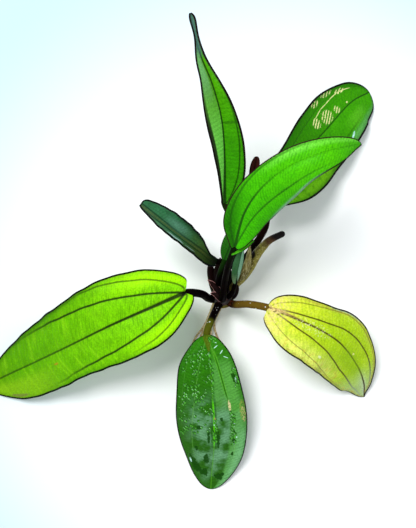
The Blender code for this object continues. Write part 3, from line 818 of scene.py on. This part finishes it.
# Painted glints: pale marks where light catches the water.
GLINTS = ((0.53, 0.60, 2.0, 0.4), (0.62, 0.63, 0.5, 1.5), (0.66, 0.60, 1.2, 0.5),
          (0.26, 0.86, 1.8, 0.45), (0.80, -0.86, 1.5, 0.5), (0.35, -0.3, 0.5, 0.4),
          (0.54, 0.03, 0.5, 0.9), (0.10, 0.62, 0.22, 1.5, 0.7), (0.07, 0.42, 0.2, 1.5, 0.5),
          (0.045, 0.5, 0.2, 1.1, -0.4), (0.13, 0.72, 0.2, 1.2, -0.5))
for share, across, length_mm, width_mm, *turn in GLINTS:
    wet.patch("C4F2E4", share, across, length_mm, width_mm, 0.85, *turn)
wet.patch("B89A50", 0.505, 0.03, 1.4, 0.5, 0.8)
dried = wet.noise(wet.flat, 1.2)
for code, strength, place, low, high in (
        ("8E9A44", 0.7, (0.45, 0.90, 6.0, 2.0), 0.42, 0.52),
        ("CCC084", 0.8, (0.47, 0.92, 4.4, 1.5), 0.5, 0.58),
        ("DCCF98", 0.9, (0.42, 0.50, 3.6, 0.7), 0.36, 0.46),
        ("5A4412", 0.5, (0.46, 0.94, 6.5, 0.8), 0.57, 0.62)):
    wet.cover(wet.oval(*place) * dried.rise(low, high) * strength, code)
wet.rim("0C0A05", 0.6, "1E5A06", 2.4, 0.45)
grow_leaf(low_leaf, "leaf_low", wet.finish_blade(0.12, "3F9020", 0.05),
          [(-0.5, -2, 12), (-3, -6.6, 16.6), (-6.3, -13.5, 24)], (1.8, 1.7),
          ("050202", "464A0C", (15.0, 18.0), 0.8))

# Water stands on the low leaf: small round drops over its left half, longer blobs where
# water has run together along the midrib and beside the right vein.
DROP_HEIGHT = 0.45              # a drop's height, as a share of its half-width
DROPS = (                       # seed, number, limits along, across and of half-width, length
    (11, 150, 0.06, 0.60, -0.93, -0.07, 0.36, 0.8, 1.5),        # round, over the left half
    (511, 36, 0.10, 0.66, -0.045, 0.07, 0.36, 0.85, 2.4),       # run together on the midrib
    (711, 24, 0.44, 0.68, 0.50, 0.66, 0.45, 1.0, 1.9),          # beside the right vein
    (911, 12, 0.19, 0.30, 0.74, 0.92, 0.4, 0.8, 1.6),           # near the margin
    (1111, 9, 0.015, 0.05, 0.1, 0.9, 0.35, 0.6, 3.0))           # at the leaf's base
LIT_SIDE, FAR_SIDE = (-0.3, -0.35), (0.35, 0.35)
bpy.ops.mesh.primitive_uv_sphere_add(segments=10, ring_count=6, radius=1, location=(0, 0, 0))
drop = bpy.context.object
bpy.ops.object.shade_smooth()
dome = drop.data.uv_layers.new(name="dome")
for corner in drop.data.loops:
    dome.data[corner.index].uv = drop.data.vertices[corner.vertex_index].co.xy
drop.data.uv_layers.remove(drop.data.uv_layers["UVMap"])
# The drops' colour is painted light: darker green at the rim, paler on the far side, and a painted
# highlight on the lit side, stronger on some drops than others.
water = Finish("water")
down, aside = water.uv("dome")
lit, far = ((down - x) * (down - x) + (aside - y) * (aside - y) for x, y in (LIT_SIDE, FAR_SIDE))
shine = water.blend(far.fall(0.05, 0.6), paint("1E5A08"), paint("4CA030"))
strength = water.noise(water.spot(), 160.0, 1.0).rise(0.42, 0.66) * 0.6 + 0.06
shine = water.blend(lit.fall(0.03, 0.18) * strength, shine, paint("A8E4A4"))
drop.data.materials.append(water.close(shine, 0.15, gloss=0.1))
drops = []
for seed, number, low, high, inner, outer, least, most, longest in DROPS:
    for chance in (random.Random(seed + count) for count in range(number)):
        share = chance.uniform(low, high)
        across = chance.uniform(inner, outer)
        size = chance.uniform(least, most) * MM
        spot = low_leaf.point(share, across)
        forward = (low_leaf.point(share + 0.01, across) - spot).normalized()
        aside = (low_leaf.point(share, across + 0.02) - spot).normalized()
        axes = (forward * size * chance.uniform(1.0, longest), aside * size,
                forward.cross(aside).normalized() * size * DROP_HEIGHT)
        bead = drop.copy()
        bead.data = drop.data.copy()
        bpy.context.collection.objects.link(bead)
        for vertex in bead.data.vertices:
            vertex.co = sum((axis * part for axis, part in zip(axes, vertex.co)), spot)
        drops.append(bead)
bpy.ops.object.select_all(action='DESELECT')
drop.select_set(True)
bpy.ops.object.delete()
whole = join(*drops)
whole.name = whole.data.name = "water_drops"
add_piece(whole, "leaf_low")

# The yellow leaf is dying back: yellow at its base and lower margin, still green inside,
# greying at its beaked tip, with brown veins on an olive-brown stalk.
yellow_leaf = Leaf(
    "yellow_leaf",
    rib=[(22, -5, 31), (29, -7.5, 34), (36, -10.5, 35), (45.5, -15, 33), (56, -22, 26.5),
         (66.2, -34.2, 14.5), (70.8, -43.8, 6.4), (72, -51.4, 0.6)],
    left=(2, 6.8, 10.9, 12.4, 15.5, 13, 6.3, 1.2, 0.3),
    right=(5, 9.3, 14.9, 17.4, 18.1, 16.2, 13.3, 5.9, 0.3),
    fold=((5, -5, -5), (10, 8, 5)), curl=((-25, -25, -20), (-15, -15, -15)),
    veins=(((0.7, 0.65, 0.7, 1.6), (1.2, 0.3, 0.88, 1.2)),
           ((0.65, 0.6, 0.5, 1.6), (1.0, 0.25, 0.9, 0.9))),
    lobe=1.0, ripple=(0.5, 21.0), wobble=(0.08, 19.0))
yellow = LeafSkin(yellow_leaf, "E8EA40", "BCDE22", (0.0, 0.5))
yellow.washes(
    ("FFFF88", 0.75, (0.8, 0.5), (-0.3, -0.9)),
    ("B4DC0A", 0.5, (0.1, 0.35), (-0.6, -0.1, 0.1, 0.6)),
    ("E4E45C", 0.4, (), (0.7, 0.95)),
    ("A4CA10", yellow.mottle.rise(0.42, 0.7) * 0.5),
    ("F4F690", yellow.flecks(0.8, 0.52, 0.75) * 0.24))
yellow.cross_veins("90AC18", 0.42, -0.5)
yellow.long_veins("361E06", 0.38, 0.9, 0.65)
yellow.washes(
    ("B0C4A0", 0.65, (0.7, 0.96)),
    ("CCD8C4", 0.5, (0.72, 0.9), (-0.35, 0.0, 0.0, 0.35)))
yellow.midrib("341C06", 1.0, 0.42, 0.92)
beside_rib = (yellow.across * yellow.width - 0.5).line(0.6)
yellow.washes(
    ("B48C58", beside_rib * yellow.flecks(0.9, 0.35, 0.5) * 0.8, (0.24, 0.04)),
    # A painted bluish highlight along the upper margin.
    ("BCD0D8", 0.7, (0.3, 0.34, 0.46, 0.58), (0.9, 0.95)),
    ("86B414", 0.45, (0.48, 0.6, 0.72, 0.86), (-0.5, -0.2, 0.0, 0.3)))
# Painted highlights: pale sparkling specks along the midrib, and two pale glints.
yellow.cover(yellow.flecks(1.1, 0.52, 0.62) * yellow.oval(0.27, -0.04, 12.0, 3.2) * 0.5, "F6F6B4")
yellow.patch("F6F29A", 0.62, 0.10, 0.7, 0.6, 0.9)
yellow.patch("EEF4C8", 0.40, -0.62, 1.4, 0.7, 0.7)
warmth = yellow.flecks(0.7, 0.35, 0.6)
inside_rim = (1 - yellow.side) * yellow.width - 1.5
yellow.washes(
    ("D8B040", yellow.flecks(0.4, 0.5, 0.65) * 0.5, (), (-0.98, -0.8, -0.75, -0.55)),
    ("EDD88A", warmth * 0.8, (0.16, 0.02)),
    ("B88A48", inside_rim.line(0.5) * warmth * 0.55, (0.1, 0.2)))
yellow.rim("1E120C", 0.85, "9AA830", 3.0, 0.3)
grow_leaf(yellow_leaf, "leaf_yellow", yellow.finish_blade(0.25, "D8F030"),
          [(1, -2, 12), (5.6, -3.9, 14.2), (13, -3.5, 24)], (1.8, 1.8),
          ("1A0C04", "5E4A14", (7.0, 11.0), 1.0, 0.55))

# Three leaves are still young: a maroon one behind the front leaf, a pale folded one that
# stands up from the crown, and a dark green one tucked under the front leaf's base.
red_young = Leaf(
    "red_young_leaf",
    rib=[(13.5, 52, 37), (14.3, 59, 39), (15.6, 65, 40)],
    left=(0.8, 1.2, 1.8, 2.2, 2.4, 2.3, 1.8, 1.1, 0.3),
    fold=((30, 30, 20),) * 2)
maroon = LeafSkin(red_young, "3A0F08", "35100A")
maroon.midrib("1A0604", 0.5, 0.25, 0.8)
maroon.rim("120404", 0.35)
grow_leaf(red_young, "young_leaf_red", maroon.finish_blade(0.08, "5A1810"),
          [(0.2, -1, 12), (0.7, 6, 14.4), (2.2, 11, 17.6), (5, 16.5, 21), (9.5, 27, 27),
           (12.5, 40, 33)], (1.1, 0.9), ("060202", "1C0806", (20.0, 40.0)), rows=50, columns=20)

pale_young = Leaf(
    "pale_young_leaf",
    rib=[(6, 6.2, 24), (7.2, 12.9, 30), (8.4, 19.4, 36), (9.2, 22.8, 39)],
    left=(1, 1.8, 2.6, 3.1, 3.3, 2.8, 1.8, 0.9, 0.3),
    right=(1, 1.4, 2, 2.4, 2.6, 2.3, 1.6, 0.9, 0.3),
    fold=((-25, -25, -25), (-45, -45, -45)))
pale = LeafSkin(pale_young, "3F7244", "467A4C")
pale.washes(
    ("8CC0A0", 0.9, (), (0.05, -0.1)),
    ("8CA878", 0.6, (0.3, 0.05)),
    # Painted shade along the middle towards the tip.
    ("1E4A24", 0.7, (0.6, 0.9), (-0.1, 0.1)))
pale.midrib("2A5A30", 0.3, 0.2, 0.7)
pale.rim("22402A", 0.25)
grow_leaf(pale_young, "young_leaf_pale", pale.finish_blade(0.15, "6FB070"),
          [(1, -1.5, 13), (4.5, 1.2, 17.8), (5.4, 3.4, 21)], (1.2, 1.1),
          ("050202", "070303"), rows=60, columns=20)

green_young = Leaf(
    "green_young_leaf",
    rib=[(0.8, 17.6, 33.8), (3, 23.5, 37), (6, 30, 39.8), (9, 35, 41.6)],
    left=(1, 2, 3.2, 4, 4.2, 3.6, 2.6, 1.3, 0.3),
    right=(1, 1.8, 2.6, 3.2, 3.4, 3, 2.2, 1.2, 0.3),
    fold=((-10, -10, -10),) * 2, curl=((-30, -30, -30),) * 2)
dusk = LeafSkin(green_young, "1C5A0C", "22660C")
dusk.cross_veins("12400A", 0.3, 0.5, spacing=1.2)
dusk.midrib("0F3208", 0.5, 0.25, 0.8)
dusk.rim("0A1A06", 0.3)
grow_leaf(green_young, "young_leaf_green", dusk.finish_blade(0.1, "2A7010"),
          [(-0.5, -1, 12), (-2, 5.4, 17), (-1.8, 10, 25)], (1.2, 1.1),
          ("050202", "0E2A06", (16.0, 26.0)), rows=60, columns=24)

# The crown is wrapped in the bases of leaves that have dropped off: short pointed sheaths
# cupped round the stalks, nearly black, some with a thin pale pink edge that is a painted
# highlight.
SHEATH_TAPER = (0.7, 0.9, 1.0, 1.0, 0.9, 0.7, 0.45, 0.2, 0.1)
DARK = ("080203", "1A0706")
SHEATHS = {     # middle line, half-width, colour of the edge, and of base and tip if not dark
    "left": ([(-1.5, 0, 13), (-3.4, 5, 14.2), (-4.8, 10, 16), (-6.4, 16, 20)], 3.3, "1C0A0A"),
    "middle": ([(-0.5, 0, 14), (-2, 5.5, 14.8), (-1.8, 11, 18.4), (-1, 18.6, 23)], 3.6, "1C0A0A"),
    "back": ([(0.5, 1, 12.5), (0.9, 6, 13), (1.2, 11, 15), (2.2, 15, 17)], 2.6, "1C0A0A"),
    "right": ([(2, -0.8, 13), (4.8, 0.2, 14), (6.6, 3, 16), (7.4, 5.8, 18)], 2.4, "1C0A0A"),
    # The pink edge colours of the upper and lower sheaths are painted highlights.
    "upper": ([(-0.2, 0.4, 18.2), (-2.4, 3.4, 18.9), (-4.6, 6, 19), (-7, 8, 19.2)], 1.9, "C08A86"),
    "lower": ([(0.2, -2, 17.8), (-1.6, -0.3, 18.6), (-3.6, 1.2, 18.6), (-5.8, 1.6, 18.8)], 1.7,
              "B88280"),
    "olive": ([(4.6, -2.6, 13.6), (2.4, -4.2, 14.2), (0, -5, 14), (-3, -5.6, 13)], 1.5, "B8A070",
              "3A3410", "5A5220"),
}
for place, (rib, half, edge, *faces) in SHEATHS.items():
    form = Leaf("old_sheath_" + place, rib, [half * share for share in SHEATH_TAPER],
                fold=((-15, -15, -10),) * 2, curl=((-190, -190, -150),) * 2)
    skin = LeafSkin(form, *(faces or DARK))
    skin.cover(skin.ragged.rise(0.55, 0.75) * 0.3, "30100F")
    # The edge line: on the upper and lower sheaths a painted pink highlight.
    skin.rim(edge, 0.24)
    sheath = dress(blade(form, 24, 12), form.name, skin.finish_blade(0.02, "301010", 0.05))
    add_piece(sheath, "crown")

# One old leaf has been trimmed away. Its olive stalk is left, brown and blunt where it was
# cut, with the papery sheath that wrapped the next leaf still standing beside it.
def even_tube(points, radii, rounding=()):
    """A stalk along a smooth route, its radius changing smoothly, rounded off if asked."""
    route = smooth_route([from_crown(point) for point in points], 8)
    widths = [smooth_value(radii, step / (len(route) - 1)) for step in range(len(route))]
    last, onward = route[-1], (route[-1] - route[-2]).normalized()
    for share in rounding:
        route.append(last + onward * share * radii[-1] * MM)
        widths.append(radii[-1] * math.sqrt(1 - share ** 2))
    return round_tube(route, widths)


old_stalk = even_tube(
    [(1, -1, 12), (5.4, 4.4, 13.6), (9.6, 9.4, 19), (12.7, 14.3, 23), (15.8, 19.9, 28),
     (18.9, 23.9, 31), (22, 26.9, 33), (27.7, 29.7, 32)],
    (1.5, 1.8, 2.4, 2.7, 2.4, 2.0, 1.7, 1.5), rounding=(0.35, 0.65, 0.85, 0.97))
# Painted shade in the hollow between the stalk and its sheath.
POCKET_SHADE = from_crown((13.6, 20.4, 29.5))         # dark hollow between the stalk and its sheath
olive = Finish("old_stalk")
away = olive.distance(CROWN)
streak = olive.noise(olive.spot(), 420.0)
fine = olive.noise(olive.spot(), 1500.0)
rind = olive.blend(streak.rise(0.4, 0.65), paint("8A8238"), paint("5E5424"))
for mask, code in ((fine.rise(0.55, 0.68) * 0.75, "C6B87E"),
                   (away.rise(36, 41) * 0.9, "4A2A1E"), (away.rise(41, 43.5), "120A0A"),
                   # The painted shade in that hollow.
                   (olive.distance(POCKET_SHADE).fall(1.6, 2.6), "140C06")):
    rind = olive.blend(mask, rind, paint(code))
dress(old_stalk, "trimmed_stalk", olive.close(rind, 0.4 + fine * 0.2, streak, 0.3 * MM, 0.1))
flap_form = Leaf(
    "papery_flap",
    rib=[(8.4, 7.6, 20.5), (10.6, 13, 28), (11.9, 18.6, 33), (12.6, 25, 36.2)],
    left=(0.8, 1.3, 1.8, 2.0, 1.9, 1.5, 1.0, 0.5, 0.1),
    right=(1.0, 1.8, 2.4, 2.7, 2.5, 1.9, 1.1, 0.5, 0.1),
    fold=((-20, -20, -20),) * 2, curl=((-90, -90, -60),) * 2)
papery = LeafSkin(flap_form, "6E6432", "A89C5C", (0.1, 0.8))
papery.washes(
    ("4E4420", papery.streaks(0.12, 1.6).rise(0.45, 0.6) * 0.7),
    ("B8AC70", 0.4, (), (0.55, 0.8)),
    ("DAD2A4", papery.streaks(0.1, 2.6).rise(0.54, 0.62) * 0.6))
papery.rim("3A3216", 0.22)
paper = dress(blade(flap_form, 40, 16), flap_form.name, papery.finish_blade(0.1, "8A8040"))
add_piece(join(old_stalk, paper), "cut_stalk", "cut_stalk")

# The roots are a tuft of pale, brittle threads under the low leaf's stalk. They grow out of
# the crown's underside, reach the surface and lie along it.
ROOT_RADII = (0.65, 0.6, 0.6, 0.55, 0.5, 0.4)
ROOT_ROUTES = {
    "root_1": [(0, -1, 9), (-2.8, -4.6, 8), (-5.4, -9, 6.8), (-8.6, -16, 4.4), (-13, -27, 1),
               (-19, -40, 0.7)],
    "root_2": [(-0.4, -1, 8), (-1.8, -4.6, 6), (-4.2, -9, 4.4), (-6.8, -16, 2.4), (-9, -27, 0.7),
               (-10, -42, 0.7), (-7, -55, 0.7)],
    "root_3": [(0, -1, 9), (-0.8, -5, 8), (-3.6, -9.4, 7), (-5.4, -16, 4.6), (-4.5, -28, 1),
               (-1, -41, 0.7)],
    "root_4": [(-2.4, -0.4, 8.4), (-3.8, -3.2, 5), (-5.8, -8.6, 3), (-8.6, -15, 1.2),
               (-13.5, -22, 0.7), (-17, -31, 0.7)],
    "root_5": [(1, -1, 8), (0.8, -3.9, 4.2), (-1.6, -8.6, 1.8), (-3.8, -15, 0.7), (-1, -24, 0.7),
               (4, -33, 0.7)],
}
root_bark = Finish("root_bark")
fleck = root_bark.noise(root_bark.spot(), 900.0)
tan = root_bark.blend(fleck.rise(0.4, 0.7), paint("C9B48A"), paint("8A6A42"))
root_skin = root_bark.close(tan, 0.75, fleck, 0.3 * MM)
for node, route in ROOT_ROUTES.items():
    root = even_tube(route, ROOT_RADII)
    add_piece(dress(root, node.replace("root", "root_thread"), root_skin), "root", node)

# The plant lies on a plain pale floor, a matt sheet that turns a little bluer away from
# its middle. Soft light comes from the room and from one round lamp, and the eye is
# straight above.
FLOOR_MIDDLE = (0.06, -0.035, 0)
FLOOR_NEAR, FLOOR_FAR = "F0F1F2", "B4D0DC"
FLOOR_TURN = (90, 220)          # where the floor begins to turn bluer, and where it has
LAMP_PLACE = Vector((-0.25, 0.35, 0.9))
LAMP_WIDTH, LAMP_WATTS = 0.4, 9.0
ROOM_COLOUR, ROOM_STRENGTH = (0.93, 0.97, 1.0, 1), 0.75
VIEW_HEIGHT = 0.42
PIXELS_PER_METRE_AT_ONE = 830.0
IMAGE_LONG_SIDE = 528
CROWN_RIGHT_PX, CROWN_DOWN_PX = 14, 32      # the crown's place from the picture's middle

bpy.ops.mesh.primitive_plane_add(size=6, location=(0, 0, 0))
floor = bpy.context.object
card = Finish("pale_floor")
away = card.distance(FLOOR_MIDDLE).rise(*FLOOR_TURN)
tint = card.blend(away, paint(FLOOR_NEAR), paint(FLOOR_FAR))
dress(floor, "pale_floor", card.close(tint, 0.9, gloss=0.05))
floor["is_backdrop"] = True

bpy.ops.object.light_add(type='AREA', location=LAMP_PLACE)
lamp = bpy.context.object
lamp.data.shape = 'DISK'
lamp.data.size = LAMP_WIDTH
lamp.data.energy = LAMP_WATTS
lamp.rotation_euler = (-LAMP_PLACE).to_track_quat('-Z', 'Y').to_euler()

world = bpy.data.worlds.new("soft_room")
world.use_nodes = True
room = world.node_tree.nodes["Background"].inputs
room["Color"].default_value, room["Strength"].default_value = ROOM_COLOUR, ROOM_STRENGTH
bpy.context.scene.world = world
bpy.context.scene.view_settings.view_transform = 'Standard'

pixel = (VIEW_HEIGHT - CROWN.z) / PIXELS_PER_METRE_AT_ONE
bpy.ops.object.camera_add(location=(CROWN.x - CROWN_RIGHT_PX * pixel,
                                    CROWN.y + CROWN_DOWN_PX * pixel, VIEW_HEIGHT))
camera = bpy.context.object
camera.data.sensor_width = 36
camera.data.lens = PIXELS_PER_METRE_AT_ONE / IMAGE_LONG_SIDE * camera.data.sensor_width
bpy.context.scene.camera = camera

size = {"cad": cad_box, "visual": [list(corner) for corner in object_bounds()]}
